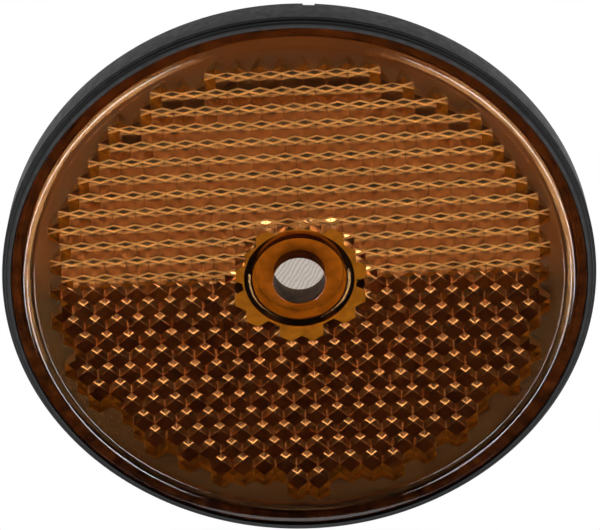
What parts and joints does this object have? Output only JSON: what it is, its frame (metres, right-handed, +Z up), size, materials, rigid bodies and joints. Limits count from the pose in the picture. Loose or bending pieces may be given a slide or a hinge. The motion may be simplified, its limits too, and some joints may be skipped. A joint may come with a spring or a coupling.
{
  "type": "round reflector",
  "caption": "Round amber reflector: a prismatic lens with a rounded edge ridge and a central screw hole, welded into a shallow black plastic housing.",
  "frame": {"origin": "on the screw hole's axis, in the plane that the back rests against", "axes": "+Z up as mounted upright, -Y out of the reflecting face along the screw hole, +X to the right seen from the front"},
  "size_m": [0.08, 0.006, 0.08],
  "materials": {
    "amber_lens": "clear moulded acrylic, polished face",
    "black_housing": "satin moulded plastic"
  },
  "bodies": {
    "root": {"lens": "amber_lens", "housing": "black_housing"}
  },
  "joints": []
}
